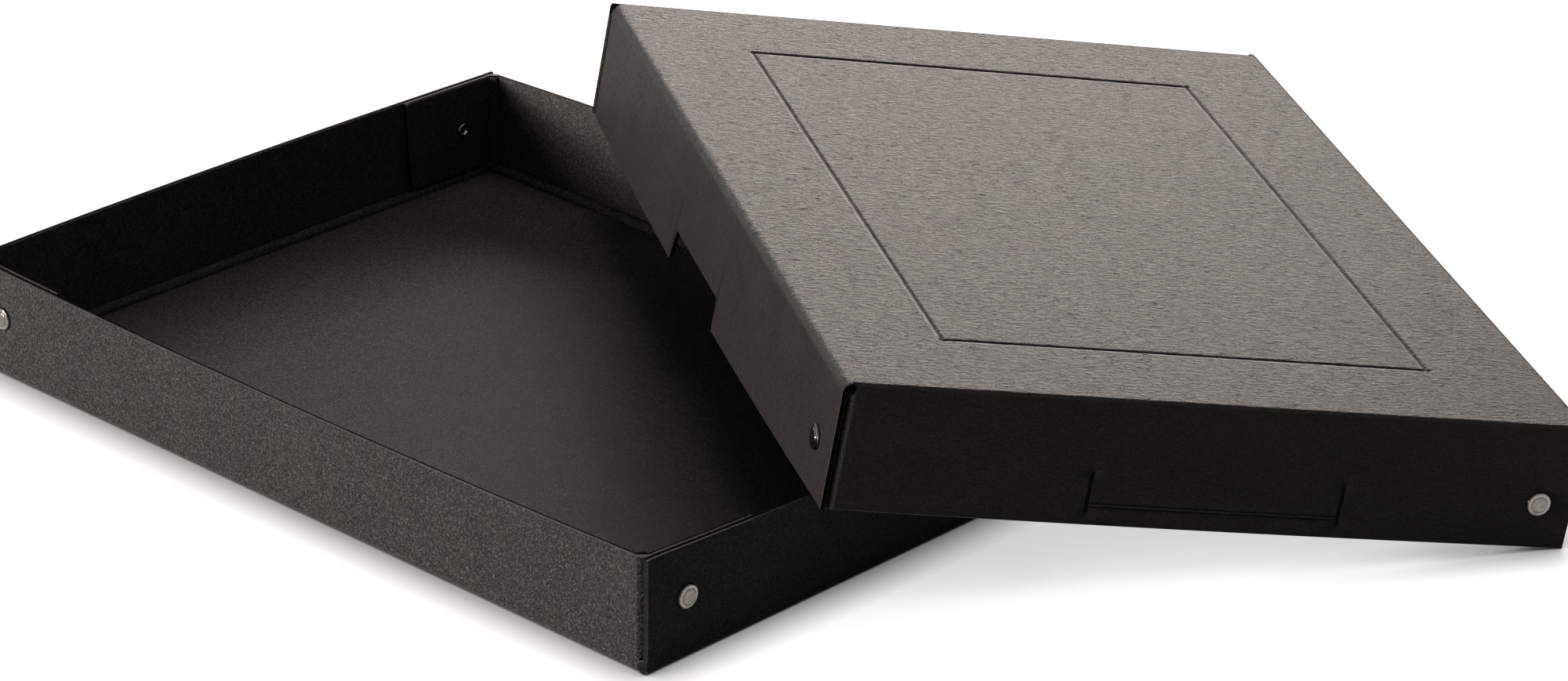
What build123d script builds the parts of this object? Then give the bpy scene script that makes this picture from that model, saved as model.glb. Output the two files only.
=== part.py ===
from build123d import *
import math
import os

os.makedirs("parts", exist_ok=True)

# The board that both halves are folded from
BOARD = 1.9
FOLD_GAP = 0.15
FLOOR_FOLD = 1.85
CORNER_FOLD = 2.7
BEAD_RADIUS = 2.1
BEAD_OFFSET = 0.4
STRAIGHT_END = 6.0

# The corner flaps, measured along the wall that each is riveted to
FLAP_LENGTH = 44.0
FLAP_SLANT = 1.6
FLAP_LOW = 4.8
FLAP_CORNER = 4.0

# The tray, outside sizes, with the bow of its right-front, right-back, left-back and left-front walls
TRAY_X = 239.2
TRAY_Y = 315.4
TRAY_H = 38.4
TRAY_BOWS = (4.9, 5.6, 1.9, 3.2)
TRAY_RIVET_INSETS = (16.4, 16.4, 17.4, 16.6)
TRAY_RIVET_HEIGHT = 21.3

# The lid, outside sizes, with the bow of its front, left, back and right walls
LID_X = 245.0
LID_Y = 321.2
LID_H = 41.9
LID_BOWS = (1.4, 2.7, 1.4, 2.7)
LID_RIVET_INSETS = (12.0, 15.2, 15.2, 15.2)
LID_RIVET_HEIGHTS = (26.8, 25.0, 25.0, 25.0)

# How the lid leans: its near top corner from the tray's near corner, then its turn, slope and roll
LID_CORNER = (65.6, -16.8, 80.59)
LID_YAW = -32.6
LID_PITCH = 9.212
LID_ROLL = 0.308

# The frame line pressed into the lid's top
FRAME_LOW = (41.7, 38.0)
FRAME_HIGH = (203.0, 280.6)
FRAME_WIDTH = 1.1
FRAME_DEPTH = 0.45
FRAME_OVERRUN = 1.6

# The label slits in the lid's front wall, from the wall's right end and the lid's top
SLIT_PLACES = (78.2, 161.0)
SLIT_WIDTH = 0.9
SLIT_LOW = 25.1
SLIT_HIGH = 36.9
SCORE_HEIGHT = 35.2
SCORE_WIDTH = 0.6
SCORE_DEPTH = 0.3

# The thumb notches in the lid's two long walls
NOTCH_LENGTH = 61.0
NOTCH_DEPTH = 10.4
NOTCH_SLANT = 1.6
NOTCH_CORNER = 2.2
NOTCH_LIP = 1.2

# The rivets
HEAD_RADIUS = 4.1
HEAD_RIM = 0.7
HEAD_HEIGHT = 1.3
SHANK_RADIUS = 1.6
SHANK_PLAY = 0.05
SEAT_PLAY = 0.03
CLINCH_RADIUS = 2.75
CLINCH_HEIGHT = 0.9
BORE_RADIUS = 1.0

# A wall stops short of its corner fold by the flap it passes outside, and by the fold's own radius
CORNER_SET = BOARD + FOLD_GAP + CORNER_FOLD
RIVET_GRIP = 2 * BOARD + FOLD_GAP


def bow_at(length, height, bow, along, level):
    """How far a wall has bowed outwards at a place, with its two slopes there."""
    span = length - 2 * STRAIGHT_END
    share = min(max((along - STRAIGHT_END) / span, 0), 1)
    rise = (level - BOARD) / (height - BOARD)
    reach = 4 * bow * share * (1 - share)
    slope_along = 4 * bow * (1 - 2 * share) / span * rise
    return reach * rise, slope_along, reach / (height - BOARD)


def band_section(length, offset, bow, level):
    """A wall's cut through at one height: straight ends and a bowed middle, one board thick."""
    xs = (0, STRAIGHT_END, length - STRAIGHT_END, length)
    outer = [Vector(x, offset) for x in xs]
    inner = [Vector(x, offset + BOARD) for x in xs]
    middle = length / 2

    def stretch(start, end):
        if bow == 0:
            return Line(start, end)
        return ThreePointArc(start, Vector(middle, start.Y - bow), end)

    edges = [
        Line(outer[0], outer[1]),
        stretch(outer[1], outer[2]),
        Line(outer[2], outer[3]),
        Line(outer[3], inner[3]),
        Line(inner[3], inner[2]),
        stretch(inner[2], inner[1]),
        Line(inner[1], inner[0]),
        Line(inner[0], outer[0]),
    ]
    return Pos(0, 0, level) * make_face(edges)


def bowed_band(length, height, bow, offset):
    """A strip of board, straight where it meets the floor fold and bowed outwards at its top edge."""
    low = band_section(length, offset, 0, BOARD)
    high = band_section(length, offset, bow, height)
    return loft([low, high], ruled=True)


def span_box(low, high):
    """A box between two corners."""
    size = [b - a for a, b in zip(low, high)]
    return Pos(*low) * Box(*size, align=(Align.MIN, Align.MIN, Align.MIN))


def wall(length, height, bow):
    """One wall with its rounded floor fold, from its cut end to where its corner fold starts."""
    reach = length - CORNER_SET
    foot = span_box((0, 0, 0), (reach, BOARD, BOARD))
    edge = foot.edges().filter_by(Axis.X).sort_by(lambda e: e.center().Y + e.center().Z)[0]
    foot = fillet(edge, FLOOR_FOLD)
    upper = bowed_band(length, height, bow, 0) & span_box((0, -20, BOARD), (reach, 20, height))
    return foot + upper


def flap(length, height, bow):
    """The flap that the wall before this one sends inside it, with its slanted end and round corner."""
    start = CORNER_FOLD
    end = FLAP_LENGTH
    outline = Polyline(
        (start, height),
        (end, height),
        (end - FLAP_SLANT, FLAP_LOW),
        (start, FLAP_LOW),
        close=True,
    )
    shape = make_face(outline)
    corner = shape.vertices().sort_by(lambda v: (v.Y - v.X))[0]
    shape = fillet(corner, FLAP_CORNER)
    mask = extrude(Plane.XZ * shape, amount=30, both=True)
    return bowed_band(length, height, bow, BOARD + FOLD_GAP) & mask


def corner_fold(height):
    """The quarter turn between the wall before and its flap, at this wall's cut end."""
    centre = Pos(CORNER_FOLD, BOARD + FOLD_GAP + CORNER_FOLD, FLAP_LOW)
    tall = height - FLAP_LOW
    lift = (Align.CENTER, Align.CENTER, Align.MIN)
    ring = Cylinder(CORNER_FOLD, tall, align=lift) - Cylinder(CORNER_FOLD - BOARD, tall, align=lift)
    quarter = ring & span_box((-CORNER_FOLD, -CORNER_FOLD, 0), (0, 0, tall))
    return centre * quarter


def beads(length, height):
    """The board's inner skin, crushed into a rounded bead along the floor fold and the corner fold."""
    lift = (Align.CENTER, Align.CENTER, Align.MIN)
    along = length - 2 * BOARD - 0.2
    floor_bead = Rot(0, 90, 0) * Cylinder(BEAD_RADIUS, along, align=lift)
    floor_bead = Pos(BOARD + 0.1, BOARD + BEAD_OFFSET, BOARD + BEAD_OFFSET) * floor_bead
    floor_bead = floor_bead & span_box((0, 0.3, 0.3), (length, 20, 20))
    side = BOARD + BEAD_OFFSET
    corner_bead = Cylinder(BEAD_RADIUS, height - FLAP_LOW - 0.4, align=lift)
    corner_bead = Pos(side, side + BOARD + FOLD_GAP, FLAP_LOW) * corner_bead
    corner_bead = corner_bead & span_box((0.3, BOARD + FOLD_GAP + 0.3, 0), (20, 20, height))
    return floor_bead, corner_bead


def side_places(size_x, size_y):
    """Each wall's own frame: it runs from its cut end, with the inside on its left."""
    return (
        (Pos(0, 0, 0), size_x),
        (Pos(size_x, 0, 0) * Rot(0, 0, 90), size_y),
        (Pos(size_x, size_y, 0) * Rot(0, 0, 180), size_x),
        (Pos(0, size_y, 0) * Rot(0, 0, 270), size_y),
    )


def rivet_places(size_x, size_y, height, bows, insets, levels):
    """Where each rivet sits, square to the bowed wall."""
    places = []
    for (place, length), bow, inset, level in zip(side_places(size_x, size_y), bows, insets, levels):
        reach, slope_along, slope_up = bow_at(length, height, bow, inset, level)
        turn = -math.degrees(math.atan(slope_along))
        lean = math.degrees(math.atan(slope_up))
        spot = Pos(inset, -reach, level) * Rot(0, 0, turn) * Rot(lean, 0, 0)
        places.append(place * spot * Rot(90, 0, 0))
    return places


def folded_board(size_x, size_y, height, bows, rivets):
    """One half of the box: a floor, four bowed walls and four flaps, folded from one board."""
    floor = span_box((BOARD, BOARD, 0), (size_x - BOARD, size_y - BOARD, BOARD))
    pieces = []
    for (place, length), bow in zip(side_places(size_x, size_y), bows):
        pieces.append(place * wall(length, height, bow))
        pieces.append(place * flap(length, height, bow))
        pieces.append(place * corner_fold(height))
        pieces.extend(place * bead for bead in beads(length, height))
    board = floor.fuse(*pieces)
    drill = Cylinder(SHANK_RADIUS + SHANK_PLAY, 4 * RIVET_GRIP)
    for rivet_place in rivets:
        board = board - rivet_place * drill
    return board


def thumb_notch(place, length, height):
    """The cutter for a shallow notch with slanted ends and rounded corners in a wall's free edge."""
    middle = length / 2
    half = NOTCH_LENGTH / 2
    top = height - NOTCH_DEPTH
    shape = make_face(
        Polyline(
            (middle - half, height),
            (middle - half + NOTCH_SLANT, top),
            (middle + half - NOTCH_SLANT, top),
            (middle + half, height),
            close=True,
        )
    )
    shape = fillet(shape.vertices().group_by(Axis.Y)[0], NOTCH_CORNER)
    wide = half + 2 * NOTCH_LIP
    mouth = make_face(
        Polyline(
            (middle - wide, height + 5),
            (middle - wide, height),
            (middle + wide, height),
            (middle + wide, height + 5),
            close=True,
        )
    )
    both = shape + mouth
    lips = [v for v in both.vertices() if abs(v.Y - height) < 0.01 and abs(abs(v.X - middle) - half) < 0.1]
    both = fillet(lips, NOTCH_LIP)
    cutter = extrude(Plane.XZ * both, amount=12, both=True)
    return place * cutter


def label_cuts():
    """The two label slits and the scored line between them, in the lid's front wall."""
    cuts = []
    for x in SLIT_PLACES:
        half = SLIT_WIDTH / 2
        cuts.append(span_box((x - half, -5, SLIT_LOW), (x + half, 5, SLIT_HIGH)))
    bow, _, _ = bow_at(LID_X, LID_H, LID_BOWS[0], sum(SLIT_PLACES) / 2, SCORE_HEIGHT)
    depth = SCORE_DEPTH - bow
    half = SCORE_WIDTH / 2
    low = (SLIT_PLACES[0], -5, SCORE_HEIGHT - half)
    high = (SLIT_PLACES[1], depth, SCORE_HEIGHT + half)
    cuts.append(span_box(low, high))
    return cuts


def frame_line():
    """The four pressed lines round the lid's top panel, running a little past each other."""
    (x0, y0), (x1, y1) = FRAME_LOW, FRAME_HIGH
    half = FRAME_WIDTH / 2
    run = FRAME_OVERRUN
    lines = []
    for y in (y0, y1):
        lines.append(span_box((x0 - run, y - half, -1), (x1 + run, y + half, FRAME_DEPTH)))
    for x in (x0, x1):
        lines.append(span_box((x - half, y0 - run, -1), (x + half, y1 + run, FRAME_DEPTH)))
    return lines


def rivet():
    """One semi-tubular rivet: a stepped dome head, a shank through both layers and a rolled clinch."""
    seat = -(RIVET_GRIP + SEAT_PLAY)
    end = seat - CLINCH_HEIGHT
    step = HEAD_RADIUS * 0.7
    rim_top = HEAD_RIM
    edges = [
        ThreePointArc((0, HEAD_HEIGHT), (step * 0.55, HEAD_HEIGHT - 0.08), (step, rim_top + 0.2)),
        Line((step, rim_top + 0.2), (step + 0.25, rim_top)),
        Line((step + 0.25, rim_top), (HEAD_RADIUS - 0.4, rim_top)),
        ThreePointArc(
            (HEAD_RADIUS - 0.4, rim_top),
            (HEAD_RADIUS - 0.1, rim_top - 0.15),
            (HEAD_RADIUS, rim_top - 0.45),
        ),
        Line((HEAD_RADIUS, rim_top - 0.45), (HEAD_RADIUS, SEAT_PLAY)),
        Line((HEAD_RADIUS, SEAT_PLAY), (SHANK_RADIUS, SEAT_PLAY)),
        Line((SHANK_RADIUS, SEAT_PLAY), (SHANK_RADIUS, seat)),
        Line((SHANK_RADIUS, seat), (CLINCH_RADIUS - 0.3, seat)),
        ThreePointArc(
            (CLINCH_RADIUS - 0.3, seat),
            (CLINCH_RADIUS, seat - 0.4),
            (CLINCH_RADIUS - 0.7, end),
        ),
        ThreePointArc(
            (CLINCH_RADIUS - 0.7, end),
            (BORE_RADIUS + 0.35, end + 0.3),
            (BORE_RADIUS, seat + 0.2),
        ),
        Line((BORE_RADIUS, seat + 0.2), (BORE_RADIUS, seat + 1.6)),
        Line((BORE_RADIUS, seat + 1.6), (0, seat + 2.1)),
        Line((0, seat + 2.1), (0, HEAD_HEIGHT)),
    ]
    return revolve(Plane.XZ * make_face(edges), Axis.Z)


# The row's origin is the middle of the tray's underside
TRAY_PLACE = Pos(-TRAY_X / 2, -TRAY_Y / 2, 0)
LID_TURN = Rot(0, 0, LID_YAW) * Rot(0, LID_PITCH, 0) * Rot(LID_ROLL, 0, 0)
LID_PLACE = TRAY_PLACE * Pos(*LID_CORNER) * LID_TURN * Pos(LID_X, 0, 0) * Rot(0, 180, 0)

tray_levels = [TRAY_RIVET_HEIGHT] * 4
tray_rivets = rivet_places(TRAY_X, TRAY_Y, TRAY_H, TRAY_BOWS, TRAY_RIVET_INSETS, tray_levels)
tray_board = folded_board(TRAY_X, TRAY_Y, TRAY_H, TRAY_BOWS, tray_rivets)
export_step(TRAY_PLACE * tray_board, "parts/tray_board.step")

lid_rivets = rivet_places(LID_X, LID_Y, LID_H, LID_BOWS, LID_RIVET_INSETS, LID_RIVET_HEIGHTS)
lid_board = folded_board(LID_X, LID_Y, LID_H, LID_BOWS, lid_rivets)
lid_sides = side_places(LID_X, LID_Y)
for side in (1, 3):
    lid_board = lid_board - thumb_notch(lid_sides[side][0], lid_sides[side][1], LID_H)
for cut in label_cuts() + frame_line():
    lid_board = lid_board - cut
export_step(LID_PLACE * lid_board, "parts/lid_board.step")

one_rivet = rivet()
TRAY_WALLS = ("front_right", "back_right", "back_left", "front_left")
LID_WALLS = ("front", "left", "back", "right")
for name, place in zip(TRAY_WALLS, tray_rivets):
    export_step(TRAY_PLACE * place * one_rivet, f"parts/tray_rivet_{name}.step")
for name, place in zip(LID_WALLS, lid_rivets):
    export_step(LID_PLACE * place * one_rivet, f"parts/lid_rivet_{name}.step")
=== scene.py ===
import math

import bpy
import numpy as np
from mathutils import Matrix, Vector


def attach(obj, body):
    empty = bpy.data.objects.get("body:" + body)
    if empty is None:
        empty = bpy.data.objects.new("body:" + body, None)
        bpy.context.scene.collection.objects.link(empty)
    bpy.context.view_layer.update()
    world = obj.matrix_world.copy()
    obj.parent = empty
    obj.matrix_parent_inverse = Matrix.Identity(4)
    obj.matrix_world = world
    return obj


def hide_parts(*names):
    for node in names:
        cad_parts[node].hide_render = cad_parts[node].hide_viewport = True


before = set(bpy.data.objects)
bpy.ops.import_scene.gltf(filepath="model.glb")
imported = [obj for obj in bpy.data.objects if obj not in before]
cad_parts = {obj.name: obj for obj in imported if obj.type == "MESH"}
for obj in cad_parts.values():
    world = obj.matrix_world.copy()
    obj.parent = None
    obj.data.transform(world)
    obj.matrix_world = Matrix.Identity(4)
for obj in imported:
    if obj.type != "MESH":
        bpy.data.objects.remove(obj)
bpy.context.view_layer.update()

# The tray board: one sheet of dark dyed-through fibreboard, creased, folded up into four walls, and
# turned at each corner into a flap that lies inside the next wall. Its folds are rounded outside and
# crushed into a bead inside.
MM = 0.001  # Sizes are in millimetres up to the table's section, and this turns them into metres
BOARD = 1.9
FLAP_GAP = 0.15
CORNER_FOLD = 2.7
CORNER_SET = BOARD + FLAP_GAP + CORNER_FOLD
BEAD_RADIUS = 2.1
BEAD_CENTRE = BOARD + 0.4
BEAD_EDGE = BEAD_CENTRE + math.sqrt(BEAD_RADIUS**2 - (BEAD_CENTRE - BOARD) ** 2)
BEAD_OVERLAP = math.asin((BEAD_CENTRE - BOARD) / BEAD_RADIUS)
BEAD_CREASE = 0.3
FLAP_LENGTH = 44.0
FLAP_SLANT = 1.6
FLAP_LOW = 4.8
FLAP_CORNER = 4.0
FLAP_MARKS = (8.0, 10.0, 22.0)
STRAIGHT_END = 6.0
PULLED_END = 10.0
FOLD_STEPS = 12
CLOSE_STEPS = 5
FLOOR_SPACING = 4.6
LEVEL_SPACING = 2.6
FLAP_SPACING = 3.0
CUT_SOFT = 0.3
CUT_LINE = 1.2
PRESSED_THROUGH = 0.3
SHARP_ANGLE = math.radians(38)

# How pale a rim's softened edges are painted, as a painted highlight, where along a bend its painted
# highlight and shade change, how deep the crepe is beside the floor's, and how far from the face's
# noise the back's is read
RIM_HIGHLIGHT = 1.6
BEND_STOPS = (0, 0.15, 0.45, 0.6, 1)
WALL_RELIEF = 0.35
INNER_RELIEF = 0.3
BACK_LAYER = 7.0

TRAY_SIZE = (239.2, 315.4, 38.4)
TRAY_BOWS = (4.9, 5.6, 1.9, 3.2)
TRAY_FOLDS = (1.85,) * 4
TRAY_CLOSED = 1.35
# The tray's corner bends are darkened with painted shade
TRAY_BEND_SHADE = (-0.8, -0.8)
TRAY_PLACE = Matrix.Translation((-TRAY_SIZE[0] / 2, -TRAY_SIZE[1] / 2, 0))


def filled_lines(marks, spacing):
    """Every mark, with evenly spaced lines between neighbours wherever they are further apart."""
    marks = np.unique(np.round(marks, 3))
    runs = []
    for start, stop in zip(marks[:-1], marks[1:]):
        count = max(1, math.ceil((stop - start) / spacing - 0.01))
        runs.append(np.linspace(start, stop, count, endpoint=False))
    return np.concatenate(runs + [marks[-1:]])


def wall_bow(length, height, bow, along, level):
    """A wall's outward lean: a parabola along it, zero near its ends, times the height above its foot."""
    share = np.clip((along - STRAIGHT_END) / (length - 2 * STRAIGHT_END), 0, 1)
    return 4 * bow * share * (1 - share) * np.clip((level - BOARD) / (height - BOARD), 0, None)


def floor_inside(lines, length, low_fold, high_fold):
    """The same lines on the floor's inner skin, which starts where the beads end."""
    ends = (0, low_fold, CORNER_SET, length - CORNER_SET, length - high_fold, length)
    inner = (0, BEAD_EDGE, CORNER_SET, length - CORNER_SET, length - BEAD_EDGE, length)
    return np.interp(lines, ends, inner)


def corner_turns(closed):
    """Shares of the corner fold's quarter turn, in even steps before and after the closed part's end."""
    end = math.asin(closed / CORNER_FOLD) / (math.pi / 2)
    shut = np.linspace(0, end, CLOSE_STEPS + 1)[1:]
    return np.concatenate([shut, np.linspace(end, 1, FOLD_STEPS - CLOSE_STEPS + 1)[1:]])


def corner_marks(closed):
    """How far along the wall each of the closed part's lines lies past the corner fold's start."""
    return np.round(CORNER_FOLD * np.sin(corner_turns(closed)[:CLOSE_STEPS] * math.pi / 2), 3)


def wall_patch(size, side, bows, folds, closed, bend_light_and_shade, lines, levels, top, lip):
    """One wall with its floor fold, corner fold and flap, as a grid of paired outer and inner points.

    Columns run along the wall from its cut end, round a quarter circle, and on along the flap. Rows
    run round the floor fold and up to the free edge. The outer skin follows the folds' arcs and the
    inner skin the beads' arcs. Past the wall's end the floor fold goes on over the closed part, where
    it turns the corner with the wall. top(x) is the free edge's height, and lip(x, z) presses the skin
    in and gives it its painted highlight and shade.
    """
    length = size[side % 2]
    height = size[2]
    bow, next_bow = bows[side], bows[(side + 1) % 4]
    fold = folds[side]
    turn = corner_turns(closed)
    flap_end = [FLAP_LENGTH - FLAP_CORNER, FLAP_LENGTH - 2 * CUT_SOFT, FLAP_LENGTH]
    reach = filled_lines([CORNER_FOLD, *FLAP_MARKS, *flap_end], FLAP_SPACING)[1:]
    columns = len(lines) + len(turn) + len(reach)
    rise = np.linspace(0, 1, FOLD_STEPS + 1)
    rows = len(rise) + len(levels)
    outer = np.zeros((rows, columns, 3))
    inner = np.zeros((rows, columns, 3))
    across = len(lines)
    bend = slice(across, across + len(turn))
    tail = slice(across + len(turn), columns)
    foot = slice(0, len(rise))
    face = slice(len(rise), rows)

    # The floor fold: a quarter circle outside, the bead's circle inside
    quarter = rise[:, None] * math.pi / 2
    bead = -BEAD_OVERLAP + rise[:, None] * (math.pi / 2 + 2 * BEAD_OVERLAP)
    ends = (folds[side - 1], folds[(side + 1) % 4])
    on_floor = floor_inside(lines, length, *ends)
    outer[foot, :across, 0] = lines
    outer[foot, :across, 1] = fold * (1 - np.sin(quarter))
    outer[foot, :across, 2] = fold * (1 - np.cos(quarter))
    inner[foot, :across, 0] = on_floor + (lines - on_floor) * rise[:, None]
    inner[foot, :across, 1] = BEAD_CENTRE + BEAD_RADIUS * np.cos(bead)
    inner[foot, :across, 2] = BEAD_CENTRE + BEAD_RADIUS * np.sin(bead)

    # The wall above it, whose levels close up under a lowered free edge
    x = np.broadcast_to(lines, (len(levels), across))
    steady = FLAP_CORNER * 2
    shrink = (top(x) - steady) / (height - steady)
    z = levels[:, None] + 0 * x
    z = np.where(z > steady, steady + (z - steady) * shrink, z)
    outer[face, :across, 0] = x
    pressed, rub_and_lighting = lip(x, z)
    outer[face, :across, 1] = pressed - wall_bow(length, height, bow, x, z)
    outer[face, :across, 2] = z
    pulled = (0, length - PULLED_END, length - CORNER_SET)
    inner_x = np.interp(x, pulled, (0, length - PULLED_END, length - BEAD_EDGE - BOARD - FLAP_GAP))
    inner[face, :across, 0] = inner_x
    inner[face, :across, 1] = BOARD - wall_bow(length, height, bow, inner_x, z)
    inner[face, :across, 2] = z

    # The corner fold: a quarter circle outside, the bead's circle inside
    centre = length - CORNER_SET
    angle = -math.pi / 2 + turn * math.pi / 2
    outer[face, bend, 0] = centre + CORNER_FOLD * np.cos(angle)
    outer[face, bend, 1] = CORNER_FOLD * (1 + np.sin(angle))
    outer[face, bend, 2] = levels[:, None]
    angle = math.pi + BEAD_OVERLAP - turn * (math.pi / 2 + 2 * BEAD_OVERLAP)
    inner[face, bend, 0] = length - BEAD_CENTRE - BOARD - FLAP_GAP + BEAD_RADIUS * np.cos(angle)
    inner[face, bend, 1] = BEAD_CENTRE + BEAD_RADIUS * np.sin(angle)
    inner[face, bend, 2] = levels[:, None]

    # The closed part of the corner, between the floor fold and the corner fold
    shut = slice(across, across + CLOSE_STEPS)
    past = length - CORNER_SET + corner_marks(closed)
    under = floor_inside(past, length, *ends)
    outer[foot, shut, 0] = past
    outer[foot, shut, 1] = fold * (1 - np.sin(quarter)) + outer[face, shut, 1][0] * np.sin(quarter)
    outer[foot, shut, 2] = fold * (1 - np.cos(quarter))
    inner[foot, shut, 0] = under + (inner[face, shut, 0][0] - under) * rise[:, None]
    inner[foot, shut, 1] = inner[foot, :1, 1] + (inner[face, shut, 1][0] - BOARD) * rise[:, None]
    inner[foot, shut, 2] = inner[foot, :1, 2]
    inner[0, :across + CLOSE_STEPS, 2] -= BEAD_CREASE
    inner[len(rise) - 1, :across, 1] -= BEAD_CREASE

    # The flap, whose free end slants and whose low corner is round
    next_length = size[(side + 1) % 2]
    z = np.broadcast_to(levels[:, None], (len(levels), len(reach)))
    above = np.clip((FLAP_LOW + FLAP_CORNER - z) / FLAP_CORNER, 0, 1)
    end = FLAP_LENGTH - FLAP_SLANT * (height - z) / (height - FLAP_LOW)
    end = end - FLAP_CORNER * (1 - np.sqrt(1 - above**2))
    share = (reach - CORNER_FOLD) / (FLAP_LENGTH - CORNER_FOLD)
    out_y = CORNER_FOLD + share * (end - CORNER_FOLD)
    in_y = BEAD_EDGE + share * (end - BEAD_EDGE)
    outer[face, tail, 0] = length - BOARD - FLAP_GAP + wall_bow(next_length, height, next_bow, out_y, z)
    outer[face, tail, 1] = out_y
    outer[face, tail, 2] = z
    inner[face, tail, 0] = length - 2 * BOARD - FLAP_GAP + wall_bow(next_length, height, next_bow, in_y, z)
    inner[face, tail, 1] = in_y
    inner[face, tail, 2] = z

    # Beyond the closed part there is board only above the flap's low edge
    cells = np.ones((rows - 1, columns - 1), bool)
    cells[:len(rise), across - 1 + CLOSE_STEPS:] = False
    blank = np.zeros((rows, columns, 2))
    bend_run = length - CORNER_SET + CORNER_FOLD * turn * math.pi / 2
    blank[..., 0] = np.concatenate([lines, bend_run, bend_run[-1] - CORNER_FOLD + reach])
    fold_run = fold * math.pi / 2
    blank[..., 1] = fold - np.concatenate([rise * fold_run, fold_run - fold + levels])[:, None]
    wear_and_light = np.zeros((rows, columns))
    wear_and_light[foot] = np.sin(math.pi * rise)[:, None]
    wear_and_light[face, :across] = rub_and_lighting
    # The bend takes painted highlight and shade along its turn, from near the wall's face to near the flap
    near, far = bend_light_and_shade
    wear_and_light[face, bend] = np.interp(turn, BEND_STOPS, (0, near, near, far, far))
    relief = np.full((rows, columns), WALL_RELIEF)
    relief[foot] = 1 - (1 - WALL_RELIEF) * rise[:, None]
    free = np.zeros((rows, columns), bool)
    free[-1] = True
    made = {"outer": outer, "inner": inner, "cells": cells, "blank": blank}
    return made | {"wear_and_light": wear_and_light, "relief": relief, "free": free}


def floor_patch(size, folds, x_lines, y_lines, press):
    """The floor as a grid of paired points. press(x, y) presses the outer skin in and gives it painted
    highlight and shade.
    """
    x, y = np.meshgrid(x_lines, y_lines)
    depth, wear_and_light = press(x, y)
    outer = np.stack([x, y, depth], -1)
    inner_x = floor_inside(x, size[0], folds[3], folds[1])
    inner_y = floor_inside(y, size[1], folds[0], folds[2])
    level = BOARD + PRESSED_THROUGH * depth
    level[0] = level[-1] = BOARD - BEAD_CREASE
    level[:, 0] = level[:, -1] = BOARD - BEAD_CREASE
    inner = np.stack([inner_x, inner_y, level], -1)
    cells = np.ones((len(y_lines) - 1, len(x_lines) - 1), bool)
    blank = np.stack([x, y], -1)
    made = {"outer": outer, "inner": inner, "cells": cells, "blank": blank}
    return made | {"wear_and_light": wear_and_light, "relief": 0 * x + 1, "free": np.zeros(x.shape, bool), "floor": True}


def side_frames(size):
    """Each wall's frame: its cut end's corner and the turn from the floor's frame to the wall's."""
    corners = ((0, 0), (size[0], 0), (size[0], size[1]), (0, size[1]))
    return [(np.array(corner), side * math.pi / 2) for side, corner in enumerate(corners)]


def place_patch(patch, corner, angle):
    """Turns a patch from a wall's frame into the floor's frame, in space and on the flat blank."""
    c, s = math.cos(angle), math.sin(angle)
    turn = np.array(((c, s), (-s, c)))
    for key in ("outer", "inner", "blank"):
        patch[key][..., :2] = patch[key][..., :2] @ turn + corner
    return patch


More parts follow.
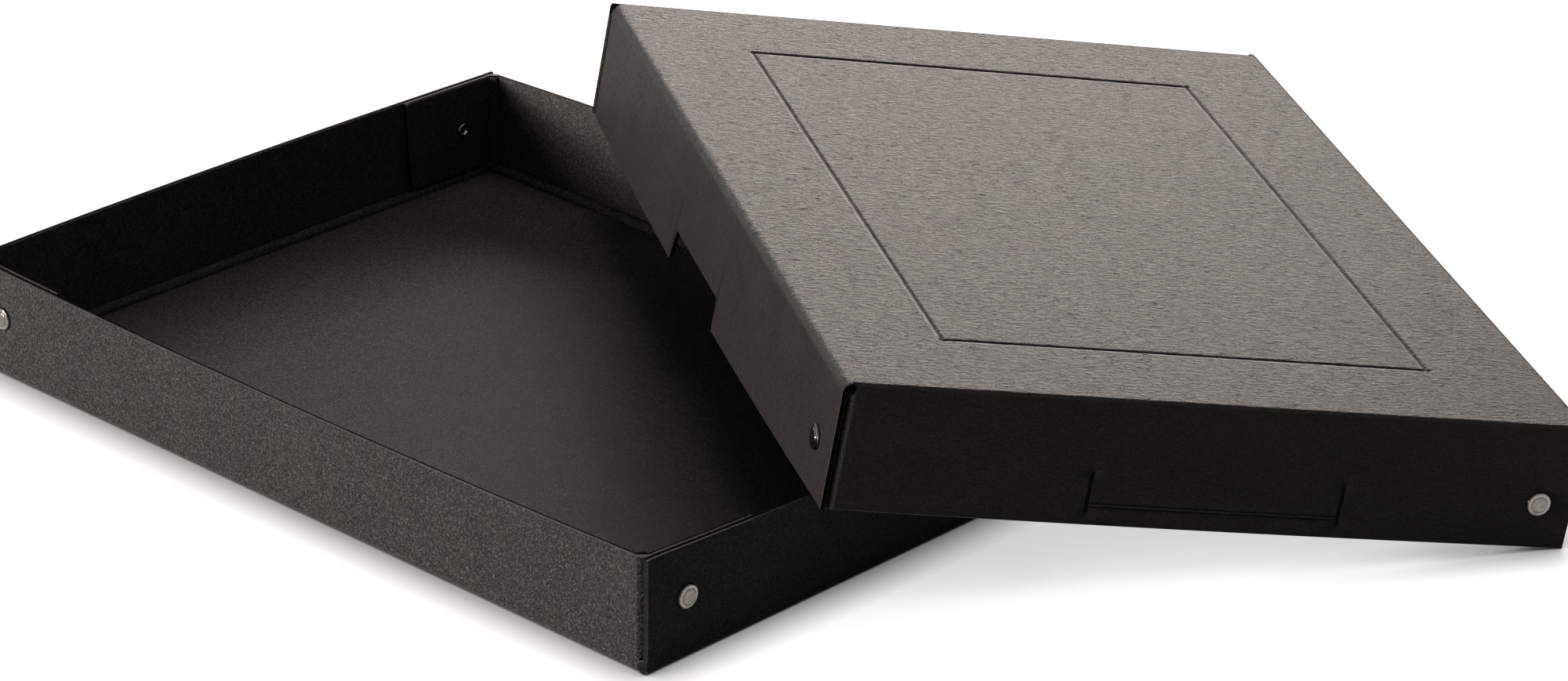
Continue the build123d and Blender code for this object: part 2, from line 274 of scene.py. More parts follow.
def sew_board(name, patches, place, finishes):
    """Joins the patches into one closed board and makes it an object.

    Points whose outer and inner places both agree are one point. The outer skin, the inner skin
    turned over, and a narrow strip with softened edges round every cut make the closed surface. The
    inner half of a free edge's strip takes a near-black, glossless finish: painted shade.
    """
    pairs = np.concatenate([np.concatenate([p["outer"], p["inner"]], -1).reshape(-1, 6) for p in patches])
    blank = np.concatenate([p["blank"].reshape(-1, 2) for p in patches])
    wear_and_light = np.concatenate([p["wear_and_light"].reshape(-1) for p in patches])
    relief = np.concatenate([p["relief"].reshape(-1) for p in patches])
    free = np.concatenate([p["free"].reshape(-1) for p in patches])
    quads = []
    start = 0
    for patch in patches:
        rows, columns = patch["wear_and_light"].shape
        index = start + np.arange(rows * columns).reshape(rows, columns)
        start += rows * columns
        grid = np.stack([index[:-1, :-1], index[:-1, 1:], index[1:, 1:], index[1:, :-1]], -1)
        grid = grid[patch["cells"]]
        quads.append(grid[:, ::-1] if "floor" in patch else grid)
    quads = np.concatenate(quads)
    _, first, same = np.unique(np.round(pairs, 3), axis=0, return_index=True, return_inverse=True)
    corner_blank = blank[quads]
    quads = same.reshape(-1)[quads]
    used, quads = np.unique(quads, return_inverse=True)
    quads = quads.reshape(-1, 4)
    first = first[used]
    outer, inner = pairs[first, :3], pairs[first, 3:]
    wear_and_light, relief, free = wear_and_light[first], relief[first], free[first]
    count = len(used)

    # The cuts are the edges that only one quad has
    edges = np.stack([quads, np.roll(quads, -1, axis=1)], -1).reshape(-1, 2)
    opposite = np.stack([np.roll(quads, 1, axis=1), np.roll(quads, -2, axis=1)], -1).reshape(-1, 2)
    key = edges.min(1) * count + edges.max(1)
    _, position, times = np.unique(key, return_index=True, return_counts=True)
    cut = position[times == 1]
    cut_edges = edges[cut]
    across = opposite[cut]
    points = np.unique(cut_edges)
    slot = np.full(count, -1)
    slot[points] = np.arange(len(points))

    def inset(skin, other):
        """Steps back from the cut on one skin, and into the cut face."""
        back = np.zeros((count, 3))
        inward = skin[across].mean(1) - skin[cut_edges].mean(1)
        along = skin[cut_edges[:, 1]] - skin[cut_edges[:, 0]]
        along /= np.linalg.norm(along, axis=1, keepdims=True) + 1e-9
        inward -= along * (inward * along).sum(1, keepdims=True)
        inward /= np.linalg.norm(inward, axis=1, keepdims=True) + 1e-9
        np.add.at(back, cut_edges[:, 0], inward)
        np.add.at(back, cut_edges[:, 1], inward)
        back = back[points]
        back /= np.linalg.norm(back, axis=1, keepdims=True) + 1e-9
        down = (other - skin)[points]
        down /= np.linalg.norm(down, axis=1, keepdims=True) + 1e-9
        stepped = skin.copy()
        stepped[points] += CUT_SOFT * back
        return stepped, skin[points] + CUT_SOFT * down

    outer_skin, outer_cut = inset(outer, inner)
    inner_skin, inner_cut = inset(inner, outer)
    middle = (outer_cut + inner_cut) / 2
    vertices = np.concatenate([outer_skin, inner_skin, outer_cut, middle, inner_cut])
    a, b = cut_edges[:, 0], cut_edges[:, 1]
    low, half, high = (2 * count + row * len(points) + slot[cut_edges] for row in range(3))
    strips = [
        np.stack([b, a, low[:, 0], low[:, 1]], 1),
        np.stack([low[:, 1], low[:, 0], half[:, 0], half[:, 1]], 1),
        np.stack([half[:, 1], half[:, 0], high[:, 0], high[:, 1]], 1),
        np.stack([high[:, 1], high[:, 0], a + count, b + count], 1),
    ]
    faces = np.concatenate([quads, quads[:, ::-1] + count] + strips)

    mesh = bpy.data.meshes.new(name)
    world = np.array(place)
    vertices = (vertices @ world[:3, :3].T + world[:3, 3]) * MM
    mesh.from_pydata(vertices, [], faces)
    mesh.polygons.foreach_set("use_smooth", np.ones(len(faces), bool))
    # A free edge's inner half takes the near-black finish, as painted shade
    shaded_half = 1 + (free[a] & free[b])
    kinds = [np.zeros(2 * len(quads) + len(cut)), np.ones(len(cut)), shaded_half, np.zeros(len(cut))]

    # The flat blank's own coordinates, in millimetres, and how worn each place is
    edge_blank = corner_blank.reshape(-1, 2)[cut]
    next_blank = np.roll(corner_blank, -1, axis=1).reshape(-1, 2)[cut]
    strip_blank = np.stack([next_blank, edge_blank, edge_blank, next_blank], 1)
    flat = [corner_blank, corner_blank[:, ::-1]] + [strip_blank] * 4
    flat = np.concatenate(flat).reshape(-1, 2)
    inner_side = np.repeat([0, 1, 0, 1], [len(quads), len(quads), len(cut), 3 * len(cut)])
    side = inner_side * BACK_LAYER
    sheet = np.column_stack([flat, np.repeat(side, 4)])
    data = mesh.attributes.new("sheet", "FLOAT_VECTOR", "CORNER")
    data.data.foreach_set("vector", sheet.ravel())
    # The cut's points are paled with a painted highlight, so the softened edges beside every cut are paler
    wear_and_light_values = np.concatenate([wear_and_light, 0 * wear_and_light, np.full(3 * len(points), RIM_HIGHLIGHT)])
    data = mesh.attributes.new("wear_and_light", "FLOAT", "POINT")
    data.data.foreach_set("value", wear_and_light_values)
    data = mesh.attributes.new("relief", "FLOAT", "POINT")
    data.data.foreach_set("value", np.concatenate([relief, np.full(count + 3 * len(points), INNER_RELIEF)]))
    for material in finishes:
        mesh.materials.append(material)
    mesh.polygons.foreach_set("material_index", np.concatenate(kinds).astype(np.int32))
    mesh.update()
    mesh.set_sharp_from_angle(angle=SHARP_ANGLE)
    board = bpy.data.objects.new(name, mesh)
    bpy.context.scene.collection.objects.link(board)
    return board


def plain_top(height):
    """A straight free edge."""
    return lambda x: 0 * x + height


def smooth_lip(x, z):
    """A skin with nothing pressed into it and neither painted highlight nor painted shade."""
    return 0 * x, 0 * x


def fold_board(
    name, size, bows, folds, corner, marks, z_marks, tops, lips, press, place, openings, finishes
):
    """One half of the box, from its lines across, its levels up the walls and what is cut or pressed.

    corner holds how far its corners are closed, and how much painted highlight and shade their bends
    take next to the wall's face and next to the flap. finishes holds the materials of its skins, of its
    cut edges and of its free edges' inner half.
    """
    closed = corner[0]
    near = [CORNER_SET, PULLED_END] + list(CORNER_SET - corner_marks(closed))
    far_x, far_y = ([size[axis] - mark for mark in near] for axis in (0, 1))
    x_marks = near + far_x + [folds[3], size[0] - folds[1]] + marks[0]
    y_marks = near + far_y + [folds[0], size[1] - folds[2]] + marks[1]
    x_lines = filled_lines(x_marks, FLOOR_SPACING)
    y_lines = filled_lines(y_marks, FLOOR_SPACING)
    floor_x = x_lines[(x_lines > folds[3] - 0.01) & (x_lines < size[0] - folds[1] + 0.01)]
    floor_y = y_lines[(y_lines > folds[0] - 0.01) & (y_lines < size[1] - folds[2] + 0.01)]
    patches = [floor_patch(size, folds, floor_x, floor_y, press)]
    along = (x_lines, y_lines, size[0] - x_lines[::-1], size[1] - y_lines[::-1])
    round_corner = FLAP_LOW + FLAP_CORNER * (1 - np.cos(np.linspace(0, math.pi / 2, 6)))
    for side, (start, angle) in enumerate(side_frames(size)):
        length = size[side % 2]
        level_marks = list(round_corner) + [size[2] - 2 * CUT_SOFT, size[2]] + z_marks[side]
        levels = filled_lines(level_marks, LEVEL_SPACING)
        lines = along[side][along[side] < length - CORNER_SET + 0.01]
        lines = np.concatenate([(0, 2 * CUT_SOFT, CUT_LINE), lines])
        patch = wall_patch(size, side, bows, folds, *corner, lines, levels, tops[side], lips[side])
        for low, high in openings[side]:
            x = patch["outer"][:-1, :-1, 0] + 0.01
            z = patch["outer"][:-1, :-1, 2] + 0.01
            hole = (x > low[0]) & (x < high[0]) & (z > low[1]) & (z < high[1])
            patch["cells"] &= ~hole
        patches.append(place_patch(patch, start, angle))
    return sew_board(name, patches, place, finishes)


def board_material(name, face, back, specular, crepe, fleck, curl):
    """Dark dyed board: a crepe of short raised dashes, curly fibres and pale flecks, on its face and back.

    crepe is the dashes' height, fleck how pale the flecks are and curl how strong the fibres' tone is.
    Where the press burnished it the board is smooth, glossy and clean. Below zero, the wear value
    darkens the colour with painted shade; above zero it pales it, with real rubbing on the folds and
    with painted highlights elsewhere. Its standing fibres take away the glare of a very low look along it.
    """
    material = bpy.data.materials.new(name)
    material.use_nodes = True
    tree = material.node_tree
    nodes, links = tree.nodes, tree.links
    shader = nodes["Principled BSDF"]

    def node(kind, **settings):
        made = nodes.new(kind)
        for key, value in settings.items():
            setattr(made, key, value)
        return made

    def noise(scale, stretch, detail=2.0, rough=0.5, warp=0.0):
        """A noise over the flat blank, stretched along its grain; scale is in blotches per millimetre."""
        mapping = node("ShaderNodeMapping")
        mapping.inputs["Scale"].default_value = (scale / stretch, scale, scale)
        texture = node("ShaderNodeTexNoise")
        texture.inputs["Scale"].default_value = 1.0
        texture.inputs["Detail"].default_value = detail
        texture.inputs["Roughness"].default_value = rough
        texture.inputs["Distortion"].default_value = warp
        links.new(sheet.outputs["Vector"], mapping.inputs["Vector"])
        links.new(mapping.outputs["Vector"], texture.inputs["Vector"])
        return texture.outputs["Fac"]

    def between(value, low, high, out_low=0.0, out_high=1.0):
        """Maps a range smoothly onto another."""
        ramp = node("ShaderNodeMapRange", interpolation_type="SMOOTHSTEP")
        ramp.inputs["From Min"].default_value = low
        ramp.inputs["From Max"].default_value = high
        ramp.inputs["To Min"].default_value = out_low
        ramp.inputs["To Max"].default_value = out_high
        links.new(value, ramp.inputs["Value"])
        return ramp.outputs["Result"]

    def calc(operation, first, second):
        math_node = node("ShaderNodeMath", operation=operation)
        for socket, value in zip(math_node.inputs, (first, second)):
            if isinstance(value, (int, float)):
                socket.default_value = value
            else:
                links.new(value, socket)
        return math_node.outputs["Value"]

    def blend(factor, first, second):
        mix = node("ShaderNodeMix", data_type="RGBA")
        links.new(factor, mix.inputs["Factor"])
        for socket, value in zip((mix.inputs[6], mix.inputs[7]), (first, second)):
            if isinstance(value, tuple):
                socket.default_value = (*value, 1)
            else:
                links.new(value, socket)
        return mix.outputs[2]

    def threads(scale, stretch, width, warp):
        """Thin curly lines, where a warped noise passes through its middle value."""
        away = calc("ABSOLUTE", calc("SUBTRACT", noise(scale, stretch, detail=1.0, warp=warp), 0.5), 0.0)
        return between(away, width, 0.0)

    sheet = node("ShaderNodeAttribute", attribute_name="sheet")
    wear_and_light = node("ShaderNodeAttribute", attribute_name="wear_and_light").outputs["Fac"]
    layer = node("ShaderNodeSeparateXYZ")
    links.new(sheet.outputs["Vector"], layer.inputs["Vector"])
    inside = calc("GREATER_THAN", layer.outputs["Z"], BACK_LAYER - 2)
    relief = node("ShaderNodeAttribute", attribute_name="relief").outputs["Fac"]

    # The patterns over the sheet, each from 0 to 1
    dashes = between(noise(0.85, 2.6, detail=3.0, rough=0.6, warp=0.5), 0.42, 0.58)
    creases = calc("MULTIPLY", threads(0.7, 4.0, 0.03, 0.8), between(noise(0.5, 3.0), 0.42, 0.6))
    fine = noise(2.4, 1.1, detail=2.0, rough=0.7)
    curls = threads(1.15, 0.9, 0.1, 1.2)
    patchy = between(noise(1.3, 1.0), 0.4, 0.64)
    cloud = between(noise(0.045, 1.6, detail=3.0), 0.35, 0.7)
    flecks = calc("MULTIPLY", curls, patchy)

    # The colour: curls, fine grain and clouds vary the ground's tone; below zero the wear value darkens it
    # with painted shade, in grooves, slits and bends; flecks are paler, and so are the real rubbing on the
    # folds and the painted highlights on rims, bends, shoulders and the score's ridge
    ground = blend(inside, face, back)
    shade = calc("ADD", calc("MULTIPLY", curls, curl), calc("MULTIPLY", fine, FINE_TONE))
    shade = calc("ADD", shade, calc("MULTIPLY", cloud, CLOUD_TONE))
    shade = calc("ADD", shade, GROUND_TONE - CURL_BALANCE * curl)
    painted_shade = calc("MAXIMUM", calc("MULTIPLY", wear_and_light, -GROOVE_SHADE), 0.0)
    shade = calc("MULTIPLY", shade, calc("SUBTRACT", 1.0, painted_shade))
    tone = node("ShaderNodeMix", data_type="RGBA", blend_type="MULTIPLY")
    tone.inputs["Factor"].default_value = 1.0
    links.new(ground, tone.inputs[6])
    links.new(shade, tone.inputs[7])
    ground = blend(calc("MULTIPLY", flecks, fleck), tone.outputs[2], FIBRE)
    burnished = between(wear_and_light, BURNISH_START, SHOULDER_HIGHLIGHT)
    rub_and_lighting = calc("MULTIPLY", calc("MAXIMUM", wear_and_light, 0.0), between(fine, 0.34, 0.58))
    rub_and_lighting = calc("MULTIPLY", rub_and_lighting, calc("SUBTRACT", 1.0, calc("MULTIPLY", burnished, BURNISH_CLEAN)))
    ground = blend(calc("MULTIPLY", rub_and_lighting, RUB_AND_HIGHLIGHT_SHARE), ground, RUB_AND_HIGHLIGHT_TONE)
    links.new(ground, shader.inputs["Base Color"])

    # The roughness: dashes are a little smoother, creases rougher, and a burnished place smoother still
    rough = calc("ADD", between(dashes, 0.0, 1.0, *BOARD_ROUGH), calc("MULTIPLY", creases, CREASE_ROUGH))
    rough = calc("SUBTRACT", rough, calc("MULTIPLY", burnished, BURNISH_GLOSS))
    facing = node("ShaderNodeLayerWeight").outputs["Facing"]
    rough = calc("ADD", rough, between(facing, *GLARE_RANGE, 0.0, GLARE_LOSS))
    links.new(rough, shader.inputs["Roughness"])
    shader.inputs["Specular IOR Level"].default_value = specular

    # The relief: dashes with creases between them, and the fine grain and the curls over both
    relief = calc("MULTIPLY", relief, calc("SUBTRACT", 1.0, burnished))
    height = calc("MULTIPLY", calc("SUBTRACT", dashes, creases), calc("MULTIPLY", relief, crepe))
    height = calc("ADD", height, calc("MULTIPLY", fine, FINE_HEIGHT))
    height = calc("ADD", height, calc("MULTIPLY", curls, CURL_HEIGHT))
    bump = node("ShaderNodeBump")
    bump.inputs["Strength"].default_value = 1.0
    bump.inputs["Distance"].default_value = CREPE_HEIGHT * MM
    links.new(height, bump.inputs["Height"])
    links.new(bump.outputs["Normal"], shader.inputs["Normal"])
    return material


def cut_edge_material(name, deep, pale, specular):
    """The board's cut edge: torn fibre in thin layers, rougher and darker than the skins."""
    material = bpy.data.materials.new(name)
    material.use_nodes = True
    nodes, links = material.node_tree.nodes, material.node_tree.links
    shader = nodes["Principled BSDF"]
    place = nodes.new("ShaderNodeTexCoord")
    fibres = nodes.new("ShaderNodeTexNoise")
    fibres.inputs["Scale"].default_value = 1500
    fibres.inputs["Detail"].default_value = 3
    links.new(place.outputs["Object"], fibres.inputs["Vector"])
    tint = nodes.new("ShaderNodeValToRGB")
    tint.color_ramp.elements[0].position = 0.35
    tint.color_ramp.elements[0].color = (*deep, 1)
    tint.color_ramp.elements[1].position = 0.75
    tint.color_ramp.elements[1].color = (*pale, 1)
    links.new(fibres.outputs["Fac"], tint.inputs["Fac"])
    links.new(tint.outputs["Color"], shader.inputs["Base Color"])
    shader.inputs["Roughness"].default_value = 0.5
    shader.inputs["Specular IOR Level"].default_value = specular
    bump = nodes.new("ShaderNodeBump")
    bump.inputs["Strength"].default_value = 1.0
    bump.inputs["Distance"].default_value = 0.1 * MM
    links.new(fibres.outputs["Fac"], bump.inputs["Height"])
    links.new(bump.outputs["Normal"], shader.inputs["Normal"])
    return material


CUT_DEEP = (0.012, 0.012, 0.0125)
CUT_PALE = (0.03, 0.031, 0.032)
# The near-black, glossless edge tones are painted shade
SHADED_EDGE_DEEP = (0.004, 0.004, 0.004)
SHADED_EDGE_PALE = (0.012, 0.011, 0.01)
TRAY_FACE = (0.052, 0.0512, 0.0505)
TRAY_BACK = (0.077, 0.0755, 0.074)
LID_FACE = (0.035, 0.0345, 0.0342)
LID_BACK = (0.034, 0.033, 0.0325)
FIBRE = (0.25, 0.27, 0.28)
# The pale tone of real rubbing on the folds and of the painted highlights
RUB_AND_HIGHLIGHT_TONE = (0.25, 0.262, 0.27)

# How much each pattern adds to the tone; stronger curls are balanced by a darker ground
FINE_TONE = 1.5
CLOUD_TONE = 0.14
GROUND_TONE = 0.18
CURL_BALANCE = 0.25
# How much painted shade darkens grooves, slits and bends, and how much of the pale tone real rubbing and
# painted highlights take
GROOVE_SHADE = 0.75
RUB_AND_HIGHLIGHT_SHARE = 0.3

# The crepe's height, what the fine grain and the curls add to it, and the roughness of its parts
CREPE_HEIGHT = 0.34
FINE_HEIGHT = 0.3
CURL_HEIGHT = 0.25
BOARD_ROUGH = (0.43, 0.37)
CREASE_ROUGH = 0.35

# The level at which burnishing begins and is full, which is also the painted highlight's level on a
# pressed line's shoulder, and how much cleaner and glossier it leaves the board
BURNISH_START = 1.7
SHOULDER_HIGHLIGHT = 3.5
BURNISH_CLEAN = 0.55
BURNISH_GLOSS = 0.24

# Where the glare goes, from 0 for a square look to 1 for a look along the board, and the roughness added
GLARE_RANGE = (0.7, 0.88)
GLARE_LOSS = 0.45

cut_finish = cut_edge_material("cut_edge", CUT_DEEP, CUT_PALE, specular=0.03)
# This near-black, glossless copy is painted shade, on a free edge's inner half and on all the lid's cut
# edges
shaded_edge_finish = cut_edge_material("shaded_edge", SHADED_EDGE_DEEP, SHADED_EDGE_PALE, specular=0.0)
tray_finish = board_material(
    "tray_board_finish", TRAY_FACE, TRAY_BACK, specular=0.012, crepe=0.3, fleck=0.65, curl=1.1
)
nothing_added = [[], [], [], []]
tray_board = fold_board(
    "tray_sheet",
    TRAY_SIZE,
    TRAY_BOWS,
    TRAY_FOLDS,
    (TRAY_CLOSED, TRAY_BEND_SHADE),
    ([], []),
    nothing_added,
    [plain_top(TRAY_SIZE[2])] * 4,
    [smooth_lip] * 4,
    smooth_lip,
    TRAY_PLACE,
    nothing_added,
    (tray_finish, cut_finish, shaded_edge_finish),
)
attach(tray_board, "tray")
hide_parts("tray_board")

# The lid board: the same board folded the same way round a slightly larger floor, then turned over.
# A frame line is pressed into its top, its long walls have thumb notches, and its front wall has two
# label slits joined by a scored line.
LID_SIZE = (245.0, 321.2, 41.9)
LID_BOWS = (1.4, 2.7, 1.4, 2.7)
LID_FOLDS = (1.3, 3.2, 2.4, 3.2)
LID_CLOSED = 2.4
# The lid's corner bends are paled with a painted highlight near the wall's face and darkened with painted
# shade near the flap
LID_BEND_HIGHLIGHT_AND_SHADE = (1.2, -1.0)
LID_CORNER = (65.6, -16.8, 80.59)
LID_YAW = math.radians(-32.6)
LID_PITCH = math.radians(9.212)
LID_ROLL = math.radians(0.308)
LID_TURN = Matrix.Rotation(LID_YAW, 4, "Z") @ Matrix.Rotation(LID_PITCH, 4, "Y")
LID_TURN = LID_TURN @ Matrix.Rotation(LID_ROLL, 4, "X")
LID_FLIP = Matrix.Translation((LID_SIZE[0], 0, 0)) @ Matrix.Rotation(math.pi, 4, "Y")
LID_PLACE = TRAY_PLACE @ Matrix.Translation(LID_CORNER) @ LID_TURN @ LID_FLIP

LINE_LOW = (41.7, 37.8)
LINE_HIGH = (203.0, 280.6)
LINE_DEPTH = 0.65
LINE_OFFSETS = (*np.arange(-1.7, 1.8, 0.2), -2.5, -2.1, 2.1, 2.5, 3, 4, 6, 9, 13)
LINE_EASE = 5.0
LINE_EASED = 0.2
LINE_FADE = 1.3
SHOULDER_WIDTH = 0.5

# A pressed line's width, how far its burnished shoulder with its painted highlight is from it, and how
# dark its bottom is painted, as painted shade
SIDE_LINE = (0.52, 1.15, 0.4)
END_LINE = (0.68, 1.4, 1.0)

SLIT_PLACES = (78.2, 161.0)
SLIT_WIDTH = 0.3
SLIT_PRESS = 0.9
SLIT_SOFT = 0.3
SLIT_LOW = 25.1
SLIT_HIGH = 36.9
SCORE_HEIGHT = 35.2
SCORE_HALF = 0.6
SCORE_DEPTH = 0.35
SCORE_WIDTH = 0.25
SCORE_END = 0.5
RIDGE_HALF = 0.15
# How pale the score's ridge is painted, as a painted highlight
RIDGE_HIGHLIGHT = 2.5
SWELL = 0.35
SWELL_EASE = 3
NOTCH_HALF = 30.5
NOTCH_DEPTH = 10.6
NOTCH_END = 2.6


def pressed_line(inside, along, low, high, form, turned_in):
    """One pressed line: a bell-shaped groove that eases back slowly to the panel on its inner side.

    inside is the distance from the line towards the panel; along fades the line out past its ends at
    low and high. It also gives the painted light: the groove is darkened with painted shade, and one
    shoulder is burnished by the press and paled with a painted highlight, the panel's where turned_in
    is 1 and the outer one where it is -1.
    """
    width, shoulder_off, dark = form
    bell = np.exp(-((inside / width) ** 2))
    eased = (1 - LINE_EASED) * bell + LINE_EASED * np.exp(-np.maximum(inside, 0) / LINE_EASE)
    past = np.maximum(np.maximum(low - along, along - high), 0)
    fade = np.exp(-((past / LINE_FADE) ** 2))
    shoulder = np.exp(-(((inside - turned_in * shoulder_off) / SHOULDER_WIDTH) ** 2))
    # The shoulder is paled as a painted highlight and the groove's bottom darkened as painted shade
    wear_and_light_values = SHOULDER_HIGHLIGHT * shoulder - dark * bell**2
    return np.where(inside < 0, bell, eased) * fade, wear_and_light_values * fade


def frame_press(x, y):
    """The depth, and the painted highlight and shade, of the four pressed lines: where two meet, the deeper
    and the stronger count.
    """
    (x0, y0), (x1, y1) = LINE_LOW, LINE_HIGH
    lines = (
        pressed_line(x - x0, y, y0, y1, SIDE_LINE, 1),
        pressed_line(x1 - x, y, y0, y1, SIDE_LINE, -1),
        pressed_line(y - y0, x, x0, x1, END_LINE, -1),
        pressed_line(y1 - y, x, x0, x1, END_LINE, 1),
    )
    depths, wear_and_light_values = np.moveaxis(np.array(lines), 1, 0)
    deepest = np.argmax(depths, axis=0)[None]
    wear_and_light = np.take_along_axis(wear_and_light_values, np.argmax(np.abs(wear_and_light_values), axis=0)[None], 0)[0]
    return LINE_DEPTH * np.take_along_axis(depths, deepest, 0)[0], wear_and_light


def notched_top(x):
    """A free edge with a shallow notch at its middle, whose ends are smooth steps."""
    away = np.abs(x - LID_SIZE[1] / 2)
    step = np.clip((NOTCH_HALF - away) / NOTCH_END, 0, 1)
    return LID_SIZE[2] - NOTCH_DEPTH * step**2 * (3 - 2 * step)


def scored_lip(x, z):
    """Two fine grooves darkened with painted shade, with a ridge between them paled with a painted
    highlight, from slit to slit, and a slight swell.

    The skin is pressed in beside each slit and darkened there with painted shade. The swell is half a
    sine wave across, between the slits and the score, and lies above the score once the lid is turned over.
    """
    low, high = SLIT_PLACES
    between = np.clip(np.minimum(x - low, high - x) / SCORE_END, 0, 1)
    off = np.abs(z - SCORE_HEIGHT)
    groove = between * np.exp(-(((off - SCORE_HALF) / SCORE_WIDTH) ** 2))
    ridge = between * np.clip(1 - off / RIDGE_HALF, 0, 1)
    away = np.minimum(abs(x - low), abs(x - high))
    slit = np.clip((SLIT_PRESS - away) / SLIT_SOFT, 0, 1)
    slit *= (z > SLIT_LOW - 0.1) & (z < SLIT_HIGH + 0.1)
    middle = np.clip((x - low) / (high - low), 0, 1)
    inside = np.clip((z - SLIT_LOW) / SWELL_EASE, 0, 1) * np.clip((SCORE_HEIGHT - z) / SWELL_EASE, 0, 1)
    depth = SCORE_DEPTH * np.maximum(groove, slit) - SWELL * np.sin(math.pi * middle) * inside
    # The second value darkens the slits and the grooves with painted shade and pales the ridge with a
    # painted highlight
    return depth, np.where(slit > 0, -slit, RIDGE_HIGHLIGHT * ridge - groove)


def line_marks(axis):
    """Where the grid needs lines for the two pressed lines that cross an axis of the lid's top."""
    low, high = LINE_LOW[axis], LINE_HIGH[axis]
    return [low + step for step in LINE_OFFSETS] + [high - step for step in LINE_OFFSETS]


slit_steps = (SLIT_WIDTH / 2, SLIT_PRESS - SLIT_SOFT, SLIT_PRESS)
slit_marks = [centre + side * step for centre in SLIT_PLACES for side in (-1, 1) for step in slit_steps]
notch_steps = np.linspace(0, NOTCH_END, 10)
notch_marks = [LID_SIZE[1] / 2 - NOTCH_HALF + step for step in notch_steps]
notch_marks += [LID_SIZE[1] / 2 + NOTCH_HALF - step for step in notch_steps]
score_steps = (-0.4, -0.2, 0, 0.2, 0.4)
score_marks = [SCORE_HEIGHT + side * SCORE_HALF + step for side in (-1, 1) for step in score_steps]
score_marks += [SCORE_HEIGHT - 0.12, SCORE_HEIGHT, SCORE_HEIGHT + 0.12]
front_levels = [SLIT_LOW, SLIT_HIGH] + score_marks
slit_holes = [
    ((centre - SLIT_WIDTH / 2, SLIT_LOW), (centre + SLIT_WIDTH / 2, SLIT_HIGH)) for centre in SLIT_PLACES
]
lid_finish = board_material(
    "lid_board_finish", LID_FACE, LID_BACK, specular=0.026, crepe=1.1, fleck=0.1, curl=0.25
)
lid_board = fold_board(
    "lid_sheet",
    LID_SIZE,
    LID_BOWS,
    LID_FOLDS,
    (LID_CLOSED, LID_BEND_HIGHLIGHT_AND_SHADE),
    (line_marks(0) + slit_marks, line_marks(1) + notch_marks),
    [front_levels, [], [], []],
    [plain_top(LID_SIZE[2]), notched_top, plain_top(LID_SIZE[2]), notched_top],
    [scored_lip, smooth_lip, smooth_lip, smooth_lip],
    frame_press,
    LID_PLACE,
    [slit_holes, [], [], []],
    # The lid's cut edges all take the near-black, glossless edge finish, as painted shade
    (lid_finish, shaded_edge_finish, shaded_edge_finish),
)
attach(lid_board, "lid")
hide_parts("lid_board")

# The rivets: semi-tubular, nickel plated, one through each corner's wall and flap. Each has a stepped
# dome head outside and a shank that is rolled open into a clinch ring inside.
HEAD_RADIUS = 4.1
RIVET_GRIP = 2 * BOARD + FLAP_GAP
SEAT_GAP = 0.03
RIVET_TURNS = 64
NICKEL_DARK = (0.24, 0.223, 0.202)
NICKEL_PALE = (0.42, 0.39, 0.355)

# How bright the plate is left at each radius: darker in the step, paler at the collar, and darkest at
# the rim, as painted shade where the head meets the board
PLATE_TONE_AND_SHADE = ((0, 0.5), (2.1, 0.56), (2.65, 0.33), (3.1, 0.8), (3.5, 0.68), (3.85, 0.1))

# How far each rivet is from its wall's cut end, and how high up the wall
TRAY_INSETS = (16.4, 16.4, 17.4, 16.6)
TRAY_LEVELS = (21.3,) * 4
LID_INSETS = (12.0, 15.2, 15.2, 15.2)
LID_LEVELS = (26.8, 25.0, 25.0, 25.0)


def turned(name, profile, place):
    """A surface of revolution: a profile of radius and height turned round the axis."""
    radius, height = profile[:, 0], profile[:, 1]
    angle = np.linspace(0, 2 * math.pi, RIVET_TURNS, endpoint=False)
    out, up = radius[1:-1, None], height[1:-1, None]
    rings = np.stack([out * np.cos(angle), out * np.sin(angle), up + 0 * angle], -1)
    count = len(profile) - 2
    poles = np.array([(0, 0, height[0]), (0, 0, height[-1])])
    vertices = np.concatenate([rings.reshape(-1, 3), poles])
    index = np.arange(count * RIVET_TURNS).reshape(count, RIVET_TURNS)
    after = np.roll(index, -1, axis=1)
    quads = np.stack([index[:-1], index[1:], after[1:], after[:-1]], -1).reshape(-1, 4)
    top, bottom = count * RIVET_TURNS, count * RIVET_TURNS + 1
    caps = [(top, a, b) for a, b in zip(index[0], after[0])]
    caps += [(bottom, b, a) for a, b in zip(index[-1], after[-1])]
    world = np.array(place)
    vertices = (vertices @ world[:3, :3].T + world[:3, 3]) * MM
    mesh = bpy.data.meshes.new(name)
    mesh.from_pydata(vertices, [], [tuple(quad) for quad in quads] + caps)
    mesh.polygons.foreach_set("use_smooth", np.ones(len(mesh.polygons), bool))
    data = mesh.attributes.new("radius", "FLOAT", "POINT")
    data.data.foreach_set("value", np.concatenate([np.repeat(radius[1:-1], RIVET_TURNS), (0, 0)]))
    mesh.update()
    made = bpy.data.objects.new(name, mesh)
    bpy.context.scene.collection.objects.link(made)
    return made


def arc(start, stop, bulge, count):
    """Points from start to stop along an arc that rises by bulge to the left of the line between them."""
    share = np.linspace(0, 1, count)[:, None]
    start, stop = np.array(start), np.array(stop)
    run = stop - start
    side = np.array((-run[1], run[0])) / np.linalg.norm(run)
    return start + run * share + side * 4 * bulge * share * (1 - share)


